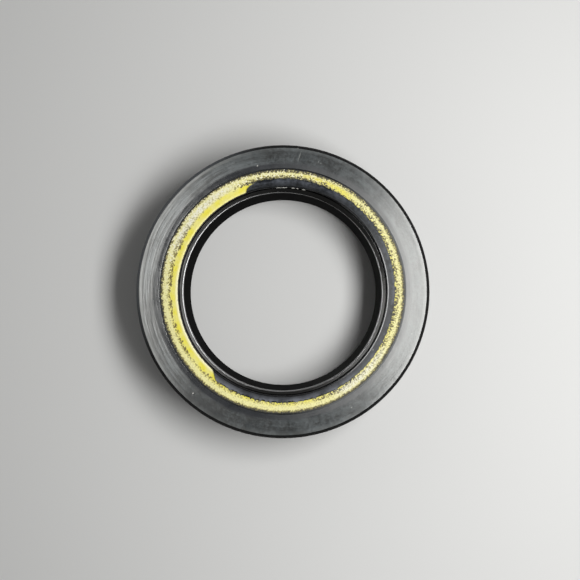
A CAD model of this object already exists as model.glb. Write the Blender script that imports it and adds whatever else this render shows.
from math import atan2, cos, degrees, exp, hypot, pi, radians, sin, sqrt, tan

import bmesh
import bpy
from mathutils import Euler, Matrix, Vector, noise


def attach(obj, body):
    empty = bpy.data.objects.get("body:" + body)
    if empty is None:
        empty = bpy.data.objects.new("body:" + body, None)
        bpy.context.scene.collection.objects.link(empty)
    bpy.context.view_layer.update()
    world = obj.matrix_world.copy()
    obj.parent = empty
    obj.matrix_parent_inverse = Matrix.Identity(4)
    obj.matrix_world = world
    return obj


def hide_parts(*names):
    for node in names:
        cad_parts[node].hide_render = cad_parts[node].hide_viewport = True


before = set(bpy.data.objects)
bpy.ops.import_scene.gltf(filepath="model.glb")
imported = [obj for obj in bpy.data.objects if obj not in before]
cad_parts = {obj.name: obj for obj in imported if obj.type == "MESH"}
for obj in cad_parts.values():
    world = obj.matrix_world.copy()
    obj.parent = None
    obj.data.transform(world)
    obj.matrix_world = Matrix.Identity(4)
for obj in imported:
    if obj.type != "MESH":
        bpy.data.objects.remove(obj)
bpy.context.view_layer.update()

# Looks of a rubber-covered radial shaft seal. The axis is Z, the oil-side rim stands on
# z = 0 and the air side faces up. Sizes are written in millimetres and angles in degrees,
# counter-clockwise from +X, and become metres and radians where a mesh is made.

MM = 0.001
FULL_TURN = 2 * pi

# ---- Sizes of the seal, as in the CAD source ----
OUTSIDE = 21.0
WIDTH = 7.0
FLANGE_FACE = 6.75
FLANGE_UNDER = 5.95
FLANGE_BORE = 15.0
CASE_OUTER = 20.0
CASE_INNER = 19.2
RIM_COVER = 0.8
BEND_INSIDE = 0.5
SHEET = 0.8
NECK_BORE = 14.9
FILM_TOP = 6.87
FILM_OUTER = 16.05
STEP_FOOT = 17.45
STEP_TOP = 17.65
FACE_INNER = 18.35
FACE_OUTER = 20.54
CHAMFER_FOOT = 6.5
SKIN_TOP = 6.63
DUST_TIP = 14.2
DUST_FOOT = 6.15
SPRING_RADIUS = 15.27
SPRING_HEIGHT = 2.6
GROOVE = 0.82
COIL = 0.8
NECK_FOOT = 5.3
LINING_UNDER = 5.5
SHOULDER_TOP = 3.67
LIP_TOP = 2.4
LIP_RADIUS = 13.5
NECK = 0.85
HEAD_OUTER = 15.62
SHOULDER_REACH = 0.31

# The neck's outer side runs parallel to the cone of the main lip.
CONE_RUN = (NECK_BORE - LIP_RADIUS) / (NECK_FOOT - LIP_TOP)
NECK_ACROSS = NECK * sqrt(1 + CONE_RUN**2)


def neck_outer(height):
    """Outer radius of the neck at a height."""
    return NECK_BORE + NECK_ACROSS + CONE_RUN * (height - NECK_FOOT)


SHOULDER_OUTER = neck_outer(SHOULDER_TOP) + SHOULDER_REACH

# ---- Modelling ----

# A round has four segments and more with its radius.
LEAST_SEGMENTS = 4
SEGMENTS_PER_MM = 6
MERGE = 1e-7


def round_corner(bm, vert, radius, segments):
    """Rounds one corner of a section wire."""
    ways = [(edge.other_vert(vert).co - vert.co).normalized() for edge in vert.link_edges]
    half = ways[0].angle(ways[1]) / 2
    bmesh.ops.bevel(
        bm, geom=[vert], offset=radius * MM / tan(half), offset_type="OFFSET",
        segments=segments, profile=0.5, affect="VERTICES", material=-1,
    )


def draw_section(bm, corners, closed=True):
    """A wire through (radius, height, round) corners in the XZ plane."""
    verts = [bm.verts.new((radius * MM, 0, height * MM)) for radius, height, _ in corners]
    for first, second in zip(verts, verts[1:] + verts[:1] * closed):
        bm.edges.new((first, second))
    for vert, (_, _, radius) in zip(verts, corners):
        if radius:
            segments = round(LEAST_SEGMENTS + radius * SEGMENTS_PER_MM)
            round_corner(bm, vert, radius, max(LEAST_SEGMENTS, segments))


def spin_section(bm, steps, start=0.0, sweep=360.0):
    """Turns the section into a ring, or into a stretch of one with its two ends closed."""
    whole = sweep == 360
    turned = Matrix.Rotation(radians(start), 3, "Z")
    bmesh.ops.rotate(bm, verts=bm.verts[:], cent=(0, 0, 0), matrix=turned)
    section = bm.edges[:]
    spun = bmesh.ops.spin(
        bm, geom=bm.verts[:] + section, cent=(0, 0, 0), axis=(0, 0, 1), dvec=(0, 0, 0),
        angle=radians(sweep), steps=steps, use_merge=whole, use_duplicate=False,
    )
    if not whole:
        far = [part for part in spun["geom_last"] if isinstance(part, bmesh.types.BMEdge)]
        bmesh.ops.contextual_create(bm, geom=section)
        bmesh.ops.contextual_create(bm, geom=far)


def polar(vert):
    """Radius, angle and height of a vertex."""
    spot = vert.co / MM
    return hypot(spot.x, spot.y), degrees(atan2(spot.y, spot.x)) % 360, spot.z


def put(vert, radius, angle, height):
    """Moves a vertex to a radius, an angle and a height."""
    turn = radians(angle)
    vert.co = Vector((cos(turn) * radius, sin(turn) * radius, height)) * MM


def ripple(angle, per_turn, seed):
    """Noise from -1 to 1 round the ring, with so many waves in a turn."""
    turn = radians(angle)
    reach = per_turn / FULL_TURN
    return noise.noise(Vector((cos(turn) * reach, sin(turn) * reach, seed)))


def near(angle, middle, reach):
    """1 at the middle angle, falling like a bell to 0.02 at the reach on both sides."""
    away = abs((angle - middle + 180) % 360 - 180) / reach
    return exp(-4 * away**2)


def finish_piece(name, bm, materials, replaced=(), zone=None, crease=32):
    """Makes the piece, with rounded corners shaded round and real corners kept sharp."""
    bmesh.ops.remove_doubles(bm, verts=bm.verts[:], dist=MERGE)
    bmesh.ops.recalc_face_normals(bm, faces=bm.faces[:])
    if zone:
        for face in bm.faces:
            middle = face.calc_center_median() / MM
            turned = degrees(atan2(middle.y, middle.x)) % 360
            face.material_index = zone(hypot(middle.x, middle.y), turned, middle.z)
    mesh = bpy.data.meshes.new(name)
    bm.to_mesh(mesh)
    bm.free()
    mesh.shade_smooth()
    mesh.set_sharp_from_angle(angle=radians(crease))
    for material in materials:
        mesh.materials.append(material)
    piece = bpy.data.objects.new(name, mesh)
    bpy.context.scene.collection.objects.link(piece)
    weighted = piece.modifiers.new("flat_faces_stay_flat", "WEIGHTED_NORMAL")
    weighted.keep_sharp = True
    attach(piece, "root")
    if replaced:
        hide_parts(*replaced)
    return piece


# ---- Materials ----

# Middle radius of the face, where patterns drawn out round the ring have their true length.
PATTERN_RADIUS = 18.0

# Turned rubber. Sizes of its patterns: round lay across and along the ring, then clouds.
FINE_LAY = (0.30, 7.0)
BROAD_LAY = (0.75, 12.0)
PATCH_SIZE = 2.4
GRAIN_SIZE = 0.5
TINT_SIZE = 1.5
# How far each pattern shifts the shade between the dark tone, 0, and the light one, 1.
MIDDLE_SHADE = 0.42
PATCH_SHADE = 0.24
GRAIN_SHADE = 0.38
CLEAN_SHADE = -0.36
LAY_CONTRAST = (0.12, 0.60)
# Radii where a feature of the face or film begins and is full.
SLOPE_SHADE = (18.70, 18.20)
SLOPE_GLOSS = (18.60, 18.10)
HANDLED_RING = (19.95, 20.38)
BEAD_SHADE = (15.85, 15.15)

# Polished rubber, wire and lint. Sizes of their patterns.
SMOOTH_CLOUD_SIZE = 1.2
SMOOTH_GRAIN_SIZE = 0.15
WIRE_MARK_SIZE = 0.11
LINT_GRAIN_SIZE = 0.1

# Primed steel. Sizes of its patterns, the hatching again across and along the ring.
SPECK_SIZE = 0.26
FINE_SPECK_SIZE = 0.18
BLOTCH_SIZE = 0.7
HATCH_SIZE = (1.2, 0.26)
CLOUD_SIZE = 1.3
DEEP_YELLOW = "#FAEE54"
# Radii where each belt of the ring begins to change and where the change is full.
SPECK_BELT = (16.15, 16.60)
WIDE_BELT = (16.50, 16.90)
BESIDE_FILM = (15.85, 16.1)
RUBBER_EDGE = (16.86, 17.54)
SMOOTH_BELT = (16.7, 17.0)
GRAIN_BELT = (15.95, 16.40)
PALE_BELT = (16.75, 17.15)
BARE_STEEL = (15.0, 16.6)
WORN_EDGE = (15.6, 15.05)
BROWN_BELT = (16.75, 16.55)


def linear(code):
    """Linear colour of an sRGB hex code."""
    parts = [int(code[i:i + 2], 16) / 255 for i in (1, 3, 5)]
    return [p / 12.92 if p <= 0.04045 else ((p + 0.055) / 1.055) ** 2.4 for p in parts] + [1]


def add(tree, kind, inputs=None, stops=(), **settings):
    """Adds a node with its settings, its inputs (a value, or a node or socket to link) and,
    for a colour ramp, its stops."""
    node = tree.nodes.new("ShaderNode" + kind)
    for name, value in settings.items():
        setattr(node, name, value)
    for name, value in (inputs or {}).items():
        if isinstance(value, bpy.types.Node):
            value = value.outputs[0]
        if isinstance(value, bpy.types.NodeSocket):
            tree.links.new(value, node.inputs[name])
        else:
            node.inputs[name].default_value = value
    for number, (place, code) in enumerate(stops):
        marks = node.color_ramp.elements
        mark = marks[number] if number < len(marks) else marks.new(place)
        mark.position = place
        mark.color = linear(code)
    return node


def start_material(name):
    """An empty material with the places that its patterns use: millimetres, the radius and
    the way outwards from the axis."""
    material = bpy.data.materials.new(name)
    material.use_nodes = True
    tree = material.node_tree
    tree.nodes.clear()
    place = add(tree, "TexCoord").outputs["Object"]
    size = add(tree, "VectorMath", {0: place, "Scale": 1 / MM}, operation="SCALE")
    flat = add(tree, "VectorMath", {0: size, 1: (1, 1, 0)}, operation="MULTIPLY")
    radius = add(tree, "VectorMath", {0: flat}, operation="LENGTH").outputs["Value"]
    out = add(tree, "VectorMath", {0: flat}, operation="NORMALIZE")
    return material, tree, size, radius, out


def facing(tree, out, angle, start, full):
    """1 on the side of the ring at an angle, 0 away from it. Start and full are how many
    degrees from that angle the rise begins and ends."""
    way = (cos(radians(angle)), sin(radians(angle)), 0)
    side = add(tree, "VectorMath", {0: out, 1: way}, operation="DOT_PRODUCT").outputs["Value"]
    return add(
        tree, "MapRange", {0: side, 1: cos(radians(start)), 2: cos(radians(full))},
        interpolation_type="SMOOTHSTEP",
    )


def round_noise(tree, out, radius, across, along, detail):
    """Noise drawn out round the ring: features so many millimetres across it and along it."""
    place = add(tree, "VectorMath", {0: out, "Scale": PATTERN_RADIUS / along}, operation="SCALE")
    track = add(tree, "Math", {0: radius, 1: 1 / across}, operation="MULTIPLY")
    lift = add(tree, "CombineXYZ", {"Z": track})
    place = add(tree, "VectorMath", {0: place, 1: lift}, operation="ADD")
    return add(
        tree, "TexNoise", {"Vector": place, "Scale": 1.0, "Detail": detail, "Roughness": 0.6}
    )


# Where the mould left specks of rubber beside the film, and where they reach right over the
# bare ring: middle angle, the degrees from it where they begin and are full, and how many.
BELT_SPECKS = [
    (182, 44, 24, 0.27), (222, 20, 8, 0.14), (8, 46, 20, 0.38), (45, 20, 8, 0.20),
    (298, 14, 5, 0.45), (88, 34, 12, 0.55), (258, 36, 14, 0.22),
]
WIDE_SPECKS = [(88, 30, 8, 0.32), (0, 64, 34, 0.24), (300, 18, 6, 0.12), (150, 40, 12, 0.12)]
# Where the clamped ring is rubbed white.
PALE_PLACES = [(314, 20, 8), (138, 26, 10)]

# Small marks on the face: x, y, half length, half width, turn and strength.
FACE_MARKS = [
    (2.41, 19.32, 0.95, 0.07, 70, 0.9),
    (5.15, 18.55, 0.30, 0.06, 60, 0.9),
    (5.45, 18.30, 0.18, 0.06, 0, 0.9),
    (-15.6, 11.9, 0.5, 0.05, 38, 0.6),
    (10.5, -15.9, 0.6, 0.05, 20, 0.5),
]


def turned_nitrile(name, dark, light, cool, level, rough, lay_off, slope_rough=None, bloom=None,
                   polish=None):
    """Nitrile rubber from a turned mould. Its fine round lay gives a broad sheen towards and
    away from the light, and a grey bloom lies on it in streaks and patches."""
    material, tree, size, radius, out = start_material(name)
    # Each part of the mould was turned a little off the axis.
    lay_way = add(tree, "VectorMath", {0: size, 1: (0, lay_off, 0)}, operation="SUBTRACT")
    lay_way = add(tree, "VectorMath", {0: lay_way, 1: (1, 1, 0)}, operation="MULTIPLY")
    lay_way = add(tree, "VectorMath", {0: lay_way}, operation="NORMALIZE")
    # The lay is finer than a hair. Its streaks are drawn 0.3 to 0.7 mm wide, to show.
    fine = round_noise(tree, out, radius, *FINE_LAY, 2.0)
    fine = add(tree, "MapRange", {0: fine, 1: 0.38, 2: 0.62, 3: -1.0, 4: 1.0})
    broad = round_noise(tree, out, radius, *BROAD_LAY, 2.0)
    broad = add(tree, "MapRange", {0: broad, 1: 0.38, 2: 0.62, 3: -1.0, 4: 1.0})
    lay = add(tree, "Math", {0: broad, 1: 0.7, 2: fine}, operation="MULTIPLY_ADD")
    # The lay is clearest on the side where the mould wore most.
    worn = facing(tree, out, 160, 75, 30)
    contrast = add(tree, "MapRange", {0: worn, 3: LAY_CONTRAST[0], 4: LAY_CONTRAST[1]})
    clean = facing(tree, out, 224, 58, 18)
    streaks = add(tree, "Math", {0: lay, 1: contrast}, operation="MULTIPLY")
    patches = add(
        tree, "TexNoise",
        {"Vector": size, "Scale": 1 / PATCH_SIZE, "Detail": 5.0, "Roughness": 0.6},
    )
    patches = add(tree, "MapRange", {0: patches, 1: 0.35, 2: 0.65, 3: -1.0, 4: 1.0})
    grain = add(
        tree, "TexNoise",
        {"Vector": size, "Scale": 1 / GRAIN_SIZE, "Detail": 4.0, "Roughness": 0.8},
    )
    grain = add(tree, "MapRange", {0: grain, 1: 0.35, 2: 0.65, 3: -1.0, 4: 1.0})
    shade = add(
        tree, "Math", {0: patches, 1: PATCH_SHADE, 2: MIDDLE_SHADE}, operation="MULTIPLY_ADD"
    )
    shade = add(tree, "Math", {0: grain, 1: GRAIN_SHADE, 2: shade}, operation="MULTIPLY_ADD")
    # The rubber is cleanest at the lower left.
    shade = add(tree, "Math", {0: clean, 1: CLEAN_SHADE, 2: shade}, operation="MULTIPLY_ADD")
    shade = add(tree, "Math", {0: shade, 1: streaks}, operation="ADD", use_clamp=True)
    tone = add(tree, "Mix", {0: shade, 6: linear(dark), 7: linear(light)}, data_type="RGBA")
    tint = add(
        tree, "TexNoise",
        {"Vector": size, "Scale": 1 / TINT_SIZE, "Detail": 3.0, "Roughness": 0.6},
    )
    tint = add(tree, "MapRange", {0: tint, 1: 0.48, 2: 0.66, 4: 0.5})
    tone = add(tree, "Mix", {0: tint, 6: tone.outputs[2], 7: linear(cool)}, data_type="RGBA")
    gloss = rough
    if slope_rough:
        # The shallow slope up from the step is darker, with an uneven edge.
        wander = add(tree, "Math", {0: broad, 1: 0.09, 2: radius}, operation="MULTIPLY_ADD")
        dim = add(
            tree, "MapRange", {0: wander, 1: SLOPE_SHADE[0], 2: SLOPE_SHADE[1], 4: 0.90},
            interpolation_type="SMOOTHSTEP",
        )
        tone = add(
            tree, "Mix", {0: dim, 6: tone.outputs[2], 7: linear("#1A1E27")}, data_type="RGBA"
        )
        # It is glossiest on the side of the tear.
        tear_side = facing(tree, out, 180, 120, 60)
        foot = add(tree, "MapRange", {0: tear_side, 3: slope_rough[0], 4: slope_rough[1]})
        gloss = add(
            tree, "MapRange",
            {0: wander, 1: SLOPE_GLOSS[0], 2: SLOPE_GLOSS[1], 3: rough, 4: foot},
            interpolation_type="SMOOTHSTEP",
        )
    else:
        if bloom:
            angle, start, full, colour = bloom
            side = facing(tree, out, angle, start, full)
            uneven = add(tree, "MapRange", {0: patches, 1: -1.2, 2: 0.8})
            side = add(tree, "Math", {0: side, 1: uneven}, operation="MULTIPLY")
            tone = add(
                tree, "Mix", {0: side, 6: tone.outputs[2], 7: linear(colour)}, data_type="RGBA"
            )
        # The film is darkest beside its bead.
        bore_side = add(
            tree, "MapRange", {0: radius, 1: BEAD_SHADE[1], 2: BEAD_SHADE[0], 3: 0.80, 4: 0.0}
        )
        tone = add(
            tree, "Mix", {0: bore_side, 6: tone.outputs[2], 7: linear(dark)}, data_type="RGBA"
        )
    marks = 0.0
    for x, y, length, width, turn, strength in FACE_MARKS:
        spot = add(
            tree, "Mapping",
            {"Vector": size, "Location": (x, y, WIDTH), "Rotation": (0, 0, radians(turn)),
             "Scale": (length, width, 50)},
            vector_type="TEXTURE",
        )
        spot = add(tree, "TexGradient", {"Vector": spot}, gradient_type="SPHERICAL")
        marks = add(
            tree, "Math", {0: spot.outputs[1], 1: strength, 2: marks}, operation="MULTIPLY_ADD"
        )
    # Handling rubs a faint pale ring just inside the outer edge.
    ring = add(
        tree, "MapRange", {0: radius, 1: HANDLED_RING[0], 2: HANDLED_RING[1]},
        interpolation_type="SMOOTHSTEP",
    )
    rubbed = facing(tree, out, 165, 65, 30)
    rubbed = add(tree, "MapRange", {0: rubbed, 3: 0.10, 4: 0.5})
    marks = add(tree, "Math", {0: ring, 1: rubbed, 2: marks}, operation="MULTIPLY_ADD")
    tone = add(tree, "Mix", {0: marks, 6: tone.outputs[2], 7: linear("#A4A6A2")}, data_type="RGBA")
    if polish:
        angle, start, full, smooth = polish
        side = facing(tree, out, angle, start, full)
        gloss = add(tree, "MapRange", {0: side, 3: rough, 4: smooth})
    gloss = add(tree, "Math", {0: streaks, 1: 0.05, 2: gloss}, operation="MULTIPLY_ADD")
    gloss = add(tree, "Math", {0: patches, 1: 0.03, 2: gloss}, operation="MULTIPLY_ADD")
    gloss = add(tree, "Math", {0: grain, 1: 0.02, 2: gloss}, operation="MULTIPLY_ADD")
    relief = add(tree, "Math", {0: grain, 1: 0.30, 2: patches}, operation="MULTIPLY_ADD")
    relief = add(tree, "Math", {0: streaks, 1: 2.5, 2: relief}, operation="MULTIPLY_ADD")
    dents = add(tree, "Bump", {"Height": relief, "Distance": 0.005 * MM, "Strength": 1.0})
    shader = add(tree, "BsdfPrincipled", {
        "Base Color": tone.outputs[2], "Roughness": gloss, "Normal": dents, "Tangent": lay_way,
        "Anisotropic": 0.8, "IOR": 2.3, "Specular IOR Level": level,
        "Specular Tint": (1.0, 1.0, 0.965, 1),
    })
    add(tree, "OutputMaterial", {"Surface": shader})
    return material


def smooth_nitrile(name, dark, light, rough, level, bump, ior=1.52, bloom=None, drawn=0.0):
    """Nitrile rubber from a polished part of the mould: even, with faint clouds. A bloom
    greys one side of it, and drawn marks spread its gloss along the ring."""
    material, tree, size, radius, out = start_material(name)
    cloud = add(
        tree, "TexNoise",
        {"Vector": size, "Scale": 1 / SMOOTH_CLOUD_SIZE, "Detail": 5.0, "Roughness": 0.6},
    )
    grain = add(
        tree, "TexNoise", {"Vector": size, "Scale": 1 / SMOOTH_GRAIN_SIZE, "Detail": 3.0}
    )
    cloudy = add(tree, "MapRange", {0: cloud, 1: 0.35, 2: 0.7})
    tone = add(tree, "Mix", {0: cloudy, 6: linear(dark), 7: linear(light)}, data_type="RGBA")
    if bloom:
        angle, start, full, colour = bloom
        side = facing(tree, out, angle, start, full)
        tone = add(
            tree, "Mix", {0: side, 6: tone.outputs[2], 7: linear(colour)}, data_type="RGBA"
        )
    gloss = add(tree, "MapRange", {0: cloud, 1: 0.3, 2: 0.7, 3: rough[0], 4: rough[1]})
    dents = add(tree, "Bump", {"Height": grain, "Distance": bump * MM, "Strength": 1.0})
    along = add(tree, "VectorMath", {0: (0, 0, 1), 1: out}, operation="CROSS_PRODUCT")
    shader = add(tree, "BsdfPrincipled", {
        "Base Color": tone.outputs[2], "Roughness": gloss, "Normal": dents, "IOR": ior,
        "Specular IOR Level": level, "Anisotropic": drawn, "Tangent": along,
    })
    add(tree, "OutputMaterial", {"Surface": shader})
    return material


def primed_steel():
    """Pressed steel under a thin yellow primer. Bare it is bright and clean; where the mould
    clamped it, specks, streaks and smears of rubber are left on it."""
    material, tree, size, radius, out = start_material("yellow_primed_steel")
    # The grit is finer than 0.1 mm, and is drawn as grains of 0.2 mm to show.
    speck = add(
        tree, "TexNoise",
        {"Vector": size, "Scale": 1 / SPECK_SIZE, "Detail": 1.0, "Roughness": 0.5},
    )
    speck = add(tree, "MapRange", {0: speck, 1: 0.32, 2: 0.68, 3: -1.0, 4: 1.0})
    blotch = add(
        tree, "TexNoise",
        {"Vector": size, "Scale": 1 / BLOTCH_SIZE, "Detail": 2.0, "Roughness": 0.5},
    )
    blotch = add(tree, "MapRange", {0: blotch, 1: 0.35, 2: 0.65, 3: -1.0, 4: 1.0})
    hatch = round_noise(tree, out, radius, *HATCH_SIZE, 1.0)
    hatch = add(tree, "MapRange", {0: hatch, 1: 0.35, 2: 0.65, 3: -1.0, 4: 1.0})
    cloud = add(tree, "TexNoise", {"Vector": size, "Scale": 1 / CLOUD_SIZE, "Detail": 4.0})
    hatched = facing(tree, out, 354, 14, 3)
    fine = add(
        tree, "TexNoise",
        {"Vector": size, "Scale": 1 / FINE_SPECK_SIZE, "Detail": 1.0, "Roughness": 0.5},
    )
    fine = add(tree, "MapRange", {0: fine, 1: 0.34, 2: 0.66, 3: -1.0, 4: 1.0})
    grit = add(tree, "Mix", {0: 0.35, 2: speck.outputs[0], 3: blotch.outputs[0]})
    # The specks are finest on the side away from the tear.
    fine_side = add(tree, "MapRange", {0: facing(tree, out, 0, 80, 45), 3: 0.4, 4: 0.7})
    grit = add(tree, "Mix", {0: fine_side, 2: grit.outputs[0], 3: fine.outputs[0]})
    wander = add(tree, "Math", {0: blotch, 1: 0.14, 2: radius}, operation="MULTIPLY_ADD")
    belt = add(
        tree, "MapRange", {0: wander, 1: SPECK_BELT[0], 2: SPECK_BELT[1], 3: 1.0, 4: 0.0},
        interpolation_type="SMOOTHSTEP",
    )
    inner = add(
        tree, "MapRange", {0: wander, 1: WIDE_BELT[0], 2: WIDE_BELT[1], 3: 1.0, 4: 0.0},
        interpolation_type="SMOOTHSTEP",
    )
    hatched = add(tree, "Math", {0: hatched, 1: belt}, operation="MULTIPLY")
    hatched = add(tree, "Math", {0: hatched, 1: 0.7}, operation="MULTIPLY")
    grit = add(tree, "Mix", {0: hatched, 2: grit.outputs[0], 3: hatch.outputs[0]})

    specks = 0.0
    for shape, places in ((belt, BELT_SPECKS), (inner, WIDE_SPECKS)):
        amount = 0.0
        for angle, start, full, strength in places:
            zone = facing(tree, out, angle, start, full)
            amount = add(tree, "Math", {0: zone, 1: strength, 2: amount}, operation="MULTIPLY_ADD")
        specks = add(tree, "Math", {0: shape, 1: amount, 2: specks}, operation="MULTIPLY_ADD")
    film_edge = add(
        tree, "MapRange", {0: wander, 1: BESIDE_FILM[0], 2: BESIDE_FILM[1]},
        interpolation_type="SMOOTHSTEP",
    )
    specks = add(tree, "Math", {0: specks, 1: film_edge}, operation="MULTIPLY")
    # Rubber grows thicker towards the moulded face, where it covers the steel. It starts a
    # little further in on the right, and further out at the upper left.
    broader = add(
        tree, "Math", {0: facing(tree, out, 0, 180, 0), 1: 0.05, 2: radius},
        operation="MULTIPLY_ADD",
    )
    broader = add(
        tree, "Math", {0: facing(tree, out, 142, 40, 8), 1: -0.16, 2: broader},
        operation="MULTIPLY_ADD",
    )
    outer = add(
        tree, "MapRange", {0: broader, 1: RUBBER_EDGE[0], 2: RUBBER_EDGE[1], 3: 0.0, 4: 1.05},
        interpolation_type="SMOOTHSTEP",
    )
    cover = add(tree, "Math", {0: specks, 1: outer}, operation="ADD")
    # Grains show most where there is most rubber, and at the upper left.
    gritty = facing(tree, out, 122, 70, 38)
    least = add(tree, "MapRange", {0: gritty, 3: 0.06, 4: 0.12})
    spread = add(tree, "MapRange", {0: cover, 1: 0.0, 2: 0.3, 3: least, 4: 0.95})
    # Towards the face the ring is smoother at the bottom and the right.
    even = add(
        tree, "MapRange", {0: radius, 1: SMOOTH_BELT[0], 2: SMOOTH_BELT[1], 3: 0.0, 4: 0.5}
    )
    even = add(tree, "Math", {0: even, 1: facing(tree, out, 300, 120, 80)}, operation="MULTIPLY")
    even = add(tree, "Math", {0: 1.0, 1: even}, operation="SUBTRACT")
    spread = add(tree, "Math", {0: spread, 1: even}, operation="MULTIPLY")
    cover = add(
        tree, "Math", {0: grit, 1: spread, 2: cover}, operation="MULTIPLY_ADD", use_clamp=True
    )

    beyond = add(tree, "MapRange", {0: radius, 1: GRAIN_BELT[0], 2: GRAIN_BELT[1]})
    pale = 0.0
    for angle, start, full in PALE_PLACES:
        pale = add(
            tree, "Math", {0: pale, 1: facing(tree, out, angle, start, full)}, operation="MAXIMUM"
        )
    pale = add(tree, "Math", {0: pale, 1: beyond}, operation="MULTIPLY")
    within = add(
        tree, "MapRange", {0: radius, 1: PALE_BELT[0], 2: PALE_BELT[1], 3: 1.0, 4: 0.0}
    )
    pale = add(tree, "Math", {0: pale, 1: within}, operation="MULTIPLY")
    chalky = add(tree, "MapRange", {0: grit, 1: -0.8, 2: 0.6, 3: 1.0, 4: 0.25})
    pale = add(tree, "Math", {0: pale, 1: chalky}, operation="MULTIPLY")
    # The punched edge is worn pale, the bare stretch is the deepest yellow.
    across = add(tree, "MapRange", {0: radius, 1: BARE_STEEL[0], 2: BARE_STEEL[1]})
    bare = add(tree, "ValToRGB", {0: across}, stops=[
        (0.0, "#FAF4BC"), (0.06, "#FAF190"), (0.28, "#FAEE58"), (0.6, DEEP_YELLOW),
        (1.0, "#FCF6AE"),
    ])
    rubbed = add(
        tree, "MapRange", {0: radius, 1: WORN_EDGE[0], 2: WORN_EDGE[1]},
        interpolation_type="SMOOTHSTEP",
    )
    rubbed = add(
        tree, "Math", {0: rubbed, 1: facing(tree, out, 200, 45, 15)}, operation="MULTIPLY"
    )
    bare = add(
        tree, "Mix", {0: rubbed, 6: bare, 7: linear("#FBF6CC")}, data_type="RGBA"
    ).outputs[2]
    clouded = add(tree, "MapRange", {0: cloud, 1: 0.42, 2: 0.64, 4: 0.45})
    clean = add(tree, "Mix", {0: clouded, 6: bare, 7: linear("#FAF5B8")}, data_type="RGBA")
    clean = add(
        tree, "Mix", {0: pale, 6: clean.outputs[2], 7: linear("#FCFAEC")}, data_type="RGBA"
    )
    # A short stretch at the upper right is as yellow as the bare steel.
    fresh = add(tree, "Math", {0: within, 1: facing(tree, out, 67, 17, 6)}, operation="MULTIPLY")
    clean = add(
        tree, "Mix", {0: fresh, 6: clean.outputs[2], 7: linear(DEEP_YELLOW)}, data_type="RGBA"
    )
    # Grains of primer stand out dull on the clamped ring.
    grains = add(tree, "MapRange", {0: grit, 1: 0.0, 2: 0.8, 4: 0.65})
    grains = add(tree, "Math", {0: grains, 1: beyond}, operation="MULTIPLY")
    clean = add(
        tree, "Mix", {0: grains, 6: clean.outputs[2], 7: linear("#B9AE74")}, data_type="RGBA"
    )
    # White grains lie between them at the upper left.
    chalk = add(tree, "MapRange", {0: grit, 1: -0.1, 2: -0.7, 4: 0.8})
    chalk = add(tree, "Math", {0: chalk, 1: beyond}, operation="MULTIPLY")
    chalk = add(tree, "Math", {0: chalk, 1: gritty}, operation="MULTIPLY")
    clean = add(
        tree, "Mix", {0: chalk, 6: clean.outputs[2], 7: linear("#FFFDF2")}, data_type="RGBA"
    )
    # A grey veil dulls the side that is handled most.
    veil = add(tree, "Math", {0: facing(tree, out, 358, 115, 30), 1: 0.14}, operation="MULTIPLY")
    clean = add(
        tree, "Mix", {0: veil, 6: clean.outputs[2], 7: linear("#9C9872")}, data_type="RGBA"
    )
    smear = add(tree, "ValToRGB", {0: cover}, stops=[
        (0.0, "#E4DC9C"), (0.35, "#B5AB6A"), (0.7, "#716A4A"), (1.0, "#414038"),
    ])
    # Beside the tear the specks are brown.
    brown = add(tree, "MapRange", {0: radius, 1: BROWN_BELT[0], 2: BROWN_BELT[1], 4: 0.8})
    brown = add(tree, "Math", {0: brown, 1: facing(tree, out, 195, 62, 35)}, operation="MULTIPLY")
    smear = add(
        tree, "Mix", {0: brown, 6: smear, 7: linear("#786A3A")}, data_type="RGBA"
    ).outputs[2]
    smear = add(
        tree, "Mix", {0: pale, 6: smear, 7: linear("#DCDACB")}, data_type="RGBA",
        blend_type="LIGHTEN",
    )
    covered = add(tree, "MapRange", {0: cover, 1: 0.04, 2: 0.4})
    tone = add(
        tree, "Mix", {0: covered, 6: clean.outputs[2], 7: smear.outputs[2]}, data_type="RGBA"
    )
    metal = add(tree, "MapRange", {0: cover, 1: 0.0, 2: 0.6, 3: 0.03, 4: 0.0})
    rough = add(tree, "MapRange", {0: grit, 1: -1.0, 2: 1.0, 3: 0.36, 4: 0.5})
    height = add(tree, "Math", {0: cover, 1: 0.6, 2: speck}, operation="MULTIPLY_ADD")
    dents = add(tree, "Bump", {"Height": height, "Distance": 0.01 * MM, "Strength": 1.0})
    shader = add(tree, "BsdfPrincipled", {
        "Base Color": tone.outputs[2], "Roughness": rough, "Metallic": metal, "Normal": dents,
    })
    add(tree, "OutputMaterial", {"Surface": shader})
    return material


def drawn_wire():
    """Drawn spring steel: bright, with fine dark drawing marks."""
    material, tree, size, radius, out = start_material("drawn_spring_steel")
    marks = add(tree, "TexNoise", {"Vector": size, "Scale": 1 / WIRE_MARK_SIZE, "Detail": 3.0})
    tone = add(
        tree, "Mix", {0: marks, 6: linear("#8C8F92"), 7: linear("#C9CBCC")}, data_type="RGBA"
    )
    rough = add(tree, "MapRange", {0: marks, 3: 0.22, 4: 0.42})
    shader = add(
        tree, "BsdfPrincipled",
        {"Base Color": tone.outputs[2], "Roughness": rough, "Metallic": 1.0},
    )
    add(tree, "OutputMaterial", {"Surface": shader})
    return material


def lint():
    """Grains of pale dust and lint lying on the rubber."""
    material, tree, size, radius, out = start_material("pale_lint")
    mottle = add(tree, "TexNoise", {"Vector": size, "Scale": 1 / LINT_GRAIN_SIZE})
    tone = add(
        tree, "Mix", {0: mottle, 6: linear("#B9B8B0"), 7: linear("#F2F1EA")}, data_type="RGBA"
    )
    shader = add(tree, "BsdfPrincipled", {"Base Color": tone.outputs[2], "Roughness": 0.9})
    add(tree, "OutputMaterial", {"Surface": shader})
    return material


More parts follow.
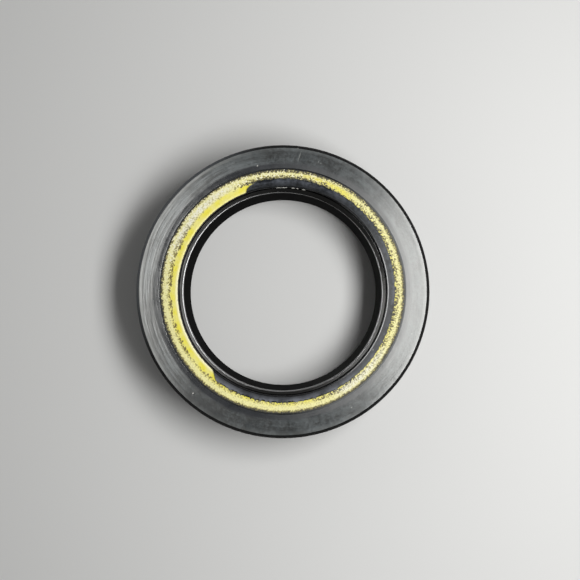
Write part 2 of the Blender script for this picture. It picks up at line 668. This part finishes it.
face_rubber = turned_nitrile(
    "turned_mould_nitrile", "#161A1C", "#545C5F", "#1F2B30", 1.0, 0.41, 1.5, (0.55, 0.27)
)
film_rubber = turned_nitrile(
    "satin_film_nitrile", "#151719", "#5C6068", "#20242D", 0.17, 0.46, -2.0,
    bloom=(268, 62, 20, "#7C7F86"),
)
land_rubber = turned_nitrile(
    "satin_lip_nitrile", "#030303", "#0C0B0A", "#060606", 0.40, 0.36, -5.0,
    polish=(52, 62, 22, 0.18),
)
step_rubber = smooth_nitrile(
    "clamped_edge_nitrile", "#17181A", "#2A2C30", (0.45, 0.6), 0.28, 0.004,
    bloom=(350, 80, 20, "#8C8E90"),
)
wall_rubber = smooth_nitrile("moulded_nitrile", "#101112", "#191B1B", (0.36, 0.46), 0.4, 0.003)
trim_rubber = smooth_nitrile(
    "trimmed_nitrile", "#070707", "#0D0D0D", (0.32, 0.42), 0.12, 0.002,
    bloom=(152, 56, 20, "#54575A"),
)
cone_rubber = smooth_nitrile(
    "cone_nitrile", "#030303", "#080808", (0.34, 0.44), 0.06, 0.001, ior=1.3,
    bloom=(338, 66, 25, "#1E1F1E"),
)
lip_rubber = smooth_nitrile(
    "polished_nitrile", "#080808", "#100F0F", (0.275, 0.295), 1.0, 0.0002, 2.6, drawn=0.75
)
bead_rubber = smooth_nitrile(
    "film_bead_nitrile", "#0D0E0F", "#1B1C1E", (0.22, 0.30), 0.42, 0.0005, 1.8
)
torn_rubber = smooth_nitrile("torn_nitrile", "#17120D", "#2E261C", (0.45, 0.6), 0.4, 0.01)
steel = primed_steel()
wire_steel = drawn_wire()

# ---- Moulded rubber, all but the thin film on the flange ----

FACE, STEP, WALL, TRIM, CONE, TIP, LAND = range(7)

# Main lip and its head.
LIP_EDGE = 2.2
HEAD_FOOT = 1.1
HEAD_INSIDE = 14.5
# Dust lip: a polished ridge at the tip, then a land that rises towards the groove behind it.
DUST_UNDER = 6.16
RIDGE_FOOT = 6.44
RIDGE_TOP = 6.50
RIDGE_INSIDE = 14.26
RIDGE_OUTSIDE = 14.35
TIP_END = 14.385
LAND_INSIDE = 14.39
LAND_START = 6.45
LAND_END = 14.78
LAND_RISE = 0.066
# Face: a shallow dish between the slope and the outer edge.
STEP_EDGE = 6.955
SLOPE_TOP = 6.925
DISH = ((19.2, 6.947), (20.0, 6.972))
# Jacket and lining.
LEAD_IN_TOP = 0.9
LEAD_IN_FOOT = 20.6
LINING_MOUTH = 18.95
LINING_INSIDE = 18.75
# Limits between the finishes.
EDGE_MARGIN = 0.05
FACE_LOWEST = 6.92
LIP_LOWEST = 6.3
CONE_OUTSIDE = 15.6
CONE_LOWEST = 1.0


def lip_ridge(angle):
    """How wide the dust lip's ridge is at an angle, as a share of its full width. It is
    worn narrow at the upper right and a little at the bottom."""
    return 1 - 0.85 * near(angle, 62, 72) - 0.28 * near(angle, 266, 34)


def ridge_lean(angle):
    """How far the ridge leans inwards at an angle, since it lies a little off centre."""
    return 0.05 * cos(radians(angle)) + 0.07 * sin(radians(angle))


def rubber_zone(radius, angle, height):
    """Which finish of the mould a face of the rubber has."""
    if radius > FACE_OUTER and height > CHAMFER_FOOT - EDGE_MARGIN:
        return TRIM
    if height > FACE_LOWEST and radius > STEP_TOP:
        return FACE
    if height > FLANGE_FACE and radius > STEP_FOOT - EDGE_MARGIN:
        return STEP
    inside = radius + ridge_lean(angle)
    if height > LIP_LOWEST and inside < DUST_TIP + (TIP_END - DUST_TIP) * lip_ridge(angle):
        return TIP
    if height > LIP_LOWEST and radius < LAND_END:
        return LAND
    if radius < CONE_OUTSIDE and height > CONE_LOWEST:
        return CONE
    return WALL


bm = bmesh.new()
groove_half = sqrt(GROOVE**2 - (HEAD_OUTER - SPRING_RADIUS) ** 2)
shoulder_half = sqrt(GROOVE**2 - (SHOULDER_OUTER - SPRING_RADIUS) ** 2)
draw_section(bm, [
    (HEAD_OUTER, SPRING_HEIGHT - groove_half, 0),
    (HEAD_OUTER, HEAD_FOOT, 0.15),
    (HEAD_INSIDE, HEAD_FOOT, 0.15),
    (LIP_RADIUS, LIP_EDGE, 0),
    (LIP_RADIUS, LIP_TOP, 0),
    (NECK_BORE, NECK_FOOT, 0.15),
    (DUST_TIP, DUST_UNDER, 0.05),
    (DUST_TIP, RIDGE_FOOT, 0.02),
    (RIDGE_INSIDE, RIDGE_TOP, 0.155),
    (RIDGE_OUTSIDE, RIDGE_TOP, 0.05),
    (LAND_INSIDE, LAND_START, 0.015),
    (LAND_END, LAND_START + LAND_RISE, 0.04),
    (NECK_BORE, DUST_FOOT, 0.05),
    (NECK_BORE, SKIN_TOP, 0),
    (FLANGE_BORE, SKIN_TOP, 0),
    (FLANGE_BORE, FLANGE_UNDER, 0),
    (CASE_INNER, FLANGE_UNDER, BEND_INSIDE),
    (CASE_INNER, RIM_COVER, 0),
    (CASE_OUTER, RIM_COVER, 0),
    (CASE_OUTER, FLANGE_FACE, BEND_INSIDE + SHEET),
    (STEP_FOOT, FLANGE_FACE, 0),
    (STEP_TOP, STEP_EDGE, 0.03),
    (FACE_INNER, SLOPE_TOP, 0.3),
    *((radius, height, 0) for radius, height in DISH),
    (FACE_OUTER, WIDTH, 0.06),
    (OUTSIDE, CHAMFER_FOOT, 0.15),
    (OUTSIDE, LEAD_IN_TOP, 0.3),
    (LEAD_IN_FOOT, 0, 0.08),
    (LINING_MOUTH, 0, 0.2),
    (LINING_INSIDE, LINING_UNDER, 0.6),
    (neck_outer(LINING_UNDER), LINING_UNDER, 0.5),
    (neck_outer(SHOULDER_TOP), SHOULDER_TOP, 0.08),
    (SHOULDER_OUTER, SHOULDER_TOP, 0.08),
    (SHOULDER_OUTER, SPRING_HEIGHT + shoulder_half, 0),
], closed=False)
nose_turn = degrees(atan2(groove_half, HEAD_OUTER - SPRING_RADIUS))
shoulder_turn = degrees(atan2(shoulder_half, SHOULDER_OUTER - SPRING_RADIUS))
bmesh.ops.spin(
    bm, geom=[bm.verts.new(Vector((HEAD_OUTER, 0, SPRING_HEIGHT - groove_half)) * MM)],
    cent=(SPRING_RADIUS * MM, 0, SPRING_HEIGHT * MM), axis=(0, 1, 0), dvec=(0, 0, 0),
    angle=radians(360 - nose_turn - shoulder_turn), steps=24, use_merge=False,
    use_duplicate=False,
)
bmesh.ops.remove_doubles(bm, verts=bm.verts[:], dist=1e-6)
spin_section(bm, 360)
for vert in bm.verts:
    radius, angle, height = polar(vert)
    if radius < TIP_END + 0.02 and height > RIDGE_FOOT - 0.04:
        # The dust lip's ridge is worn narrow in two places, and lies a little off centre.
        radius = DUST_TIP + (radius - DUST_TIP) * lip_ridge(angle)
        put(vert, radius - ridge_lean(angle), angle, height)
finish_piece(
    "moulded_rubber", bm,
    [
        face_rubber, step_rubber, wall_rubber, trim_rubber, cone_rubber, lip_rubber,
        land_rubber,
    ],
    ["rubber_body"], rubber_zone,
)

# ---- Film of flash on the flange, torn away along the left ----

FILM_STEPS = 1400
FILM_START = 228.3
FILM_END = 470.2
SLANT = 5.7
NOSE = 6.8
NOSE_REACH = 0.93
BEAD_TOP = FILM_TOP + 0.035
BEAD_OUTSIDE = 15.02
BEAD_ROUND = 0.10
BEAD_END = 15.13
# The film's ends curl up, over so many degrees.
CURL = 0.05
CURL_SPAN = 2.5
# Two sizes of teeth on the ragged edge, as waves in a turn, and their usual depth.
TEETH = (230, 600)
TOOTH_DEPTH = 0.11
# Radii where both ends of the film have a row of points, to follow their outlines.
FILM_ROWS = (15.14, 15.4, 15.55, 15.67, 15.77, 15.85, 15.91, 15.96, FILM_OUTER - 0.06)

bm = bmesh.new()
draw_section(bm, [
    (NECK_BORE, SKIN_TOP, 0),
    (NECK_BORE, BEAD_TOP, BEAD_ROUND),
    (BEAD_OUTSIDE, BEAD_TOP, BEAD_ROUND),
    *((radius, FILM_TOP, 0) for radius in FILM_ROWS),
    (FILM_OUTER, FLANGE_FACE, 0),
    *((radius, FLANGE_FACE, 0) for radius in reversed(FILM_ROWS)),
    (FLANGE_BORE, SKIN_TOP, 0),
])
spin_section(bm, FILM_STEPS, FILM_START, FILM_END - FILM_START)
for cap in [face for face in bm.faces if len(face.verts) > 4]:
    for row in FILM_ROWS:
        pair = [vert for vert in cap.verts if abs(polar(vert)[0] - row) < 1e-3]
        bmesh.ops.connect_verts(bm, verts=pair)
for vert in bm.verts:
    radius, angle, height = polar(vert)
    if angle < FILM_START - 1e-3:
        angle += 360
    along = (angle - FILM_START) / (FILM_END - FILM_START)
    out = max(0.0, (radius - NECK_BORE) / (FILM_OUTER - NECK_BORE))
    start = FILM_START + SLANT * out
    end = FILM_END - NOSE * (1 - sqrt(1 - min(1, out / NOSE_REACH) ** 2))
    angle = start + along * (end - start)
    if radius < 15.2 and height > SKIN_TOP + 0.01:
        # The bead fades out at the upper right, and reaches into the bore at the top.
        radius += 0.16 * near(angle % 360, 47, 40) - 0.10 * near(angle % 360, 92, 18)
        height -= (BEAD_TOP - FILM_TOP) * near(angle % 360, 47, 40)
    if radius > FILM_OUTER - 0.09:
        # The edge is most ragged at the bottom and least at the right, and a little off centre.
        teeth = TOOTH_DEPTH + 0.14 * near(angle, 262, 40) - 0.06 * near(angle, 360, 60)
        radius += (ripple(angle, TEETH[0], 1) + ripple(angle, TEETH[1], 2)) * teeth
        radius += 0.13 * sin(radians(angle))
    ends = max(0.0, 1 - (end - angle) / CURL_SPAN) ** 2
    ends += max(0.0, 1 - (angle - start) / CURL_SPAN) ** 2
    if height > SKIN_TOP + 0.01:
        height += CURL * ends * out
    put(vert, radius, angle, height)
finish_piece(
    "flange_film", bm, [film_rubber, bead_rubber], ["rubber_body"],
    lambda radius, angle, height: int(radius < BEAD_END),
)

# ---- Ragged edge of rubber left on the flange's bore where the film is torn ----

EDGE_FOOT = 6.5
EDGE_REACH = FLANGE_BORE + 0.06
EDGE_STEPS = 1200
EDGE_START = 109.6
EDGE_SWEEP = 119.4
# Two sizes of rags, as waves in a turn, and the angle of one larger rag.
RAGS = (420, 900)
LARGE_RAG = 154.3

bm = bmesh.new()
draw_section(bm, [
    (NECK_BORE, EDGE_FOOT, 0),
    (NECK_BORE + 0.01, SKIN_TOP + 0.03, 0.02),
    (FLANGE_BORE + 0.02, SKIN_TOP + 0.06, 0.02),
    (EDGE_REACH, SKIN_TOP + 0.04, 0),
    (FLANGE_BORE + 0.02, EDGE_FOOT, 0),
])
spin_section(bm, EDGE_STEPS, EDGE_START, EDGE_SWEEP)
for vert in bm.verts:
    radius, angle, height = polar(vert)
    if height > SKIN_TOP:
        rag = max(0.0, ripple(angle, RAGS[0], 3) + 0.6 * ripple(angle, RAGS[1], 4))
        rag += 0.9 * near(angle, LARGE_RAG, 1.2)
        reach = (radius - NECK_BORE) / (EDGE_REACH - NECK_BORE)
        radius += 0.22 * rag * reach
        height += 0.06 * rag * reach
    put(vert, radius, angle, height)
finish_piece("torn_rubber_edge", bm, [torn_rubber], ["rubber_body"])

# ---- Pressed steel case ----

# The punched bore has a broken edge, drawn in from so far out.
PUNCHED = ((0.08, 6.71, 0.1), (0.3, FLANGE_FACE, 0.8))
SHEARED = 0.05

bm = bmesh.new()
draw_section(bm, [
    (FLANGE_BORE, FLANGE_UNDER, SHEARED),
    (FLANGE_BORE, SKIN_TOP, 0.08),
    *((FLANGE_BORE + out, height, round_off) for out, height, round_off in PUNCHED),
    (CASE_OUTER, FLANGE_FACE, BEND_INSIDE + SHEET),
    (CASE_OUTER, RIM_COVER, SHEARED),
    (CASE_INNER, RIM_COVER, SHEARED),
    (CASE_INNER, FLANGE_UNDER, BEND_INSIDE),
])
spin_section(bm, 360)
finish_piece("pressed_case", bm, [steel], ["metal_case"])

# ---- Garter spring of closely wound wire ----

WIRE = 0.36
TURNS = 240
POINTS_PER_TURN = 14

path = bpy.data.curves.new("coiled_spring", "CURVE")
path.dimensions = "3D"
path.bevel_depth = WIRE / 2 * MM
path.bevel_resolution = 2
path.use_fill_caps = False
turns = path.splines.new("POLY")
turns.points.add(TURNS * POINTS_PER_TURN - 1)
for number, point in enumerate(turns.points):
    along = number / len(turns.points)
    coil = FULL_TURN * TURNS * along
    radius = SPRING_RADIUS + (COIL - WIRE / 2) * cos(coil)
    height = SPRING_HEIGHT + (COIL - WIRE / 2) * sin(coil)
    spot = Vector((radius * cos(FULL_TURN * along), radius * sin(FULL_TURN * along), height))
    point.co = (*(spot * MM), 1)
turns.use_cyclic_u = True
wound = bpy.data.objects.new("wound", path)
bm = bmesh.new()
bm.from_mesh(bpy.data.meshes.new_from_object(wound))
bpy.data.objects.remove(wound)
finish_piece("coiled_spring", bm, [wire_steel], ["garter_spring"], crease=60)

# ---- Specks of lint and dust lying on the rubber ----

# x, y, height of the surface and width of each speck.
LINT = [
    (-12.75, -14.6, 6.95, 0.20), (-9.6, -17.0, 6.95, 0.12), (2.2, 20.4, 6.98, 0.14),
    (0.26, 17.4, 6.75, 0.15), (-3.62, 17.95, 6.94, 0.16), (14.16, -4.7, 6.45, 0.16),
    (12.9, -8.4, 6.87, 0.12), (14.9, 5.0, 6.87, 0.10),
    (17.2, 9.3, 6.95, 0.12), (18.4, -6.1, 6.95, 0.12), (-18.2, 6.0, 6.95, 0.10),
    (-8.2, 17.6, 6.95, 0.10), (9.8, -16.6, 6.95, 0.14), (-16.9, -9.1, 6.95, 0.10),
]

# Slivers of skin along the film's inner edge: angle and length.
SLIVERS = [(92.4, 0.78), (89.2, 0.92), (84.2, 0.56), (81.9, 0.28), (78.4, 0.44)]
SLIVER_RADIUS = 14.82
SLIVER_WIDTH = 0.08

# How lumpy the grains are, and how deep their middles lie.
LUMPS_PER_MM = 14
SUNK = 0.02

bm = bmesh.new()
for number, (x, y, height, width) in enumerate(LINT):
    speck = bmesh.ops.create_icosphere(bm, subdivisions=2, radius=width / 2 * MM)
    for vert in speck["verts"]:
        lump = noise.noise(vert.co / MM * LUMPS_PER_MM + Vector((number, 0, 0)))
        vert.co *= 1 + 0.8 * lump
        vert.co.z *= 0.5
    middle = Vector((x, y, height - SUNK)) * MM
    bmesh.ops.translate(bm, verts=speck["verts"], vec=middle)
for number, (angle, length) in enumerate(SLIVERS):
    sliver = bmesh.ops.create_icosphere(bm, subdivisions=2, radius=SLIVER_WIDTH / 2 * MM)
    for vert in sliver["verts"]:
        lump = noise.noise(vert.co / MM * LUMPS_PER_MM + Vector((number, 5, 0)))
        vert.co *= 1 + 0.25 * lump
        vert.co.x *= length / SLIVER_WIDTH
    place = Vector((0, SLIVER_RADIUS, FILM_TOP - SUNK)) * MM
    bmesh.ops.translate(bm, verts=sliver["verts"], vec=place)
    turned = Matrix.Rotation(radians(angle - 90), 3, "Z")
    bmesh.ops.rotate(bm, verts=sliver["verts"], cent=(0, 0, 0), matrix=turned)
finish_piece("lint_specks", bm, [lint()])

# ---- Floor, light and camera ----

FLOOR_HALF = 3000

bm = bmesh.new()
bmesh.ops.create_grid(bm, x_segments=1, y_segments=1, size=FLOOR_HALF * MM)
mesh = bpy.data.meshes.new("studio_floor")
bm.to_mesh(mesh)
bm.free()
floor = bpy.data.objects.new("studio_floor", mesh)
bpy.context.scene.collection.objects.link(floor)
paper = bpy.data.materials.new("pale_paper")
paper.use_nodes = True
paper.node_tree.nodes.clear()
sheet = add(paper.node_tree, "BsdfPrincipled", {"Base Color": linear("#DADAD8"), "Roughness": 0.9})
add(paper.node_tree, "OutputMaterial", {"Surface": sheet})
mesh.materials.append(paper)


def lamp(name, place, aim, wide, tall, power):
    """A soft box, its place, aim and sides in millimetres."""
    light = bpy.data.lights.new(name, "AREA")
    light.shape = "RECTANGLE"
    light.size = wide * MM
    light.size_y = tall * MM
    light.energy = power
    thing = bpy.data.objects.new(name, light)
    thing.location = Vector(place) * MM
    thing.rotation_euler = (Vector(aim) - Vector(place)).to_track_quat("-Z", "Y").to_euler()
    bpy.context.scene.collection.objects.link(thing)


lamp("key", (85, -3, 135), (0, 0, 5), 150, 55, 0.27)
lamp("fill", (-272, 127, 42), (0, 0, 5), 220, 120, 0.13)

world = bpy.data.worlds.new("studio")
world.use_nodes = True
tree = world.node_tree
tree.nodes.clear()
# The room is bright all round and dim overhead.
way = add(tree, "SeparateXYZ", {0: add(tree, "TexCoord").outputs["Generated"]})
level = add(tree, "MapRange", {0: way.outputs["Z"], 1: 0.15, 2: 0.6, 3: 0.55, 4: 0.06})
shade = add(tree, "Background", {"Color": linear("#FFFFFF"), "Strength": level})
add(tree, "OutputWorld", {"Surface": shade})
bpy.context.scene.world = world

SENSOR = 36
CAMERA_AWAY = 200
CAMERA_LEAN = (2.3, 0.5)
SEEN_WIDTH = 82.80
aim = Vector((1.05, 0.14, WIDTH))
turn = Euler((radians(CAMERA_LEAN[0]), radians(CAMERA_LEAN[1]), 0))
back = turn.to_matrix() @ Vector((0, 0, 1))
view = bpy.data.cameras.new("camera")
view.sensor_width = SENSOR
view.lens = SENSOR * CAMERA_AWAY / SEEN_WIDTH
view.clip_start = 0.01
camera = bpy.data.objects.new("camera", view)
camera.location = (aim + back * CAMERA_AWAY) * MM
camera.rotation_euler = turn
bpy.context.scene.collection.objects.link(camera)
bpy.context.scene.camera = camera

bpy.context.scene.view_settings.view_transform = "Standard"
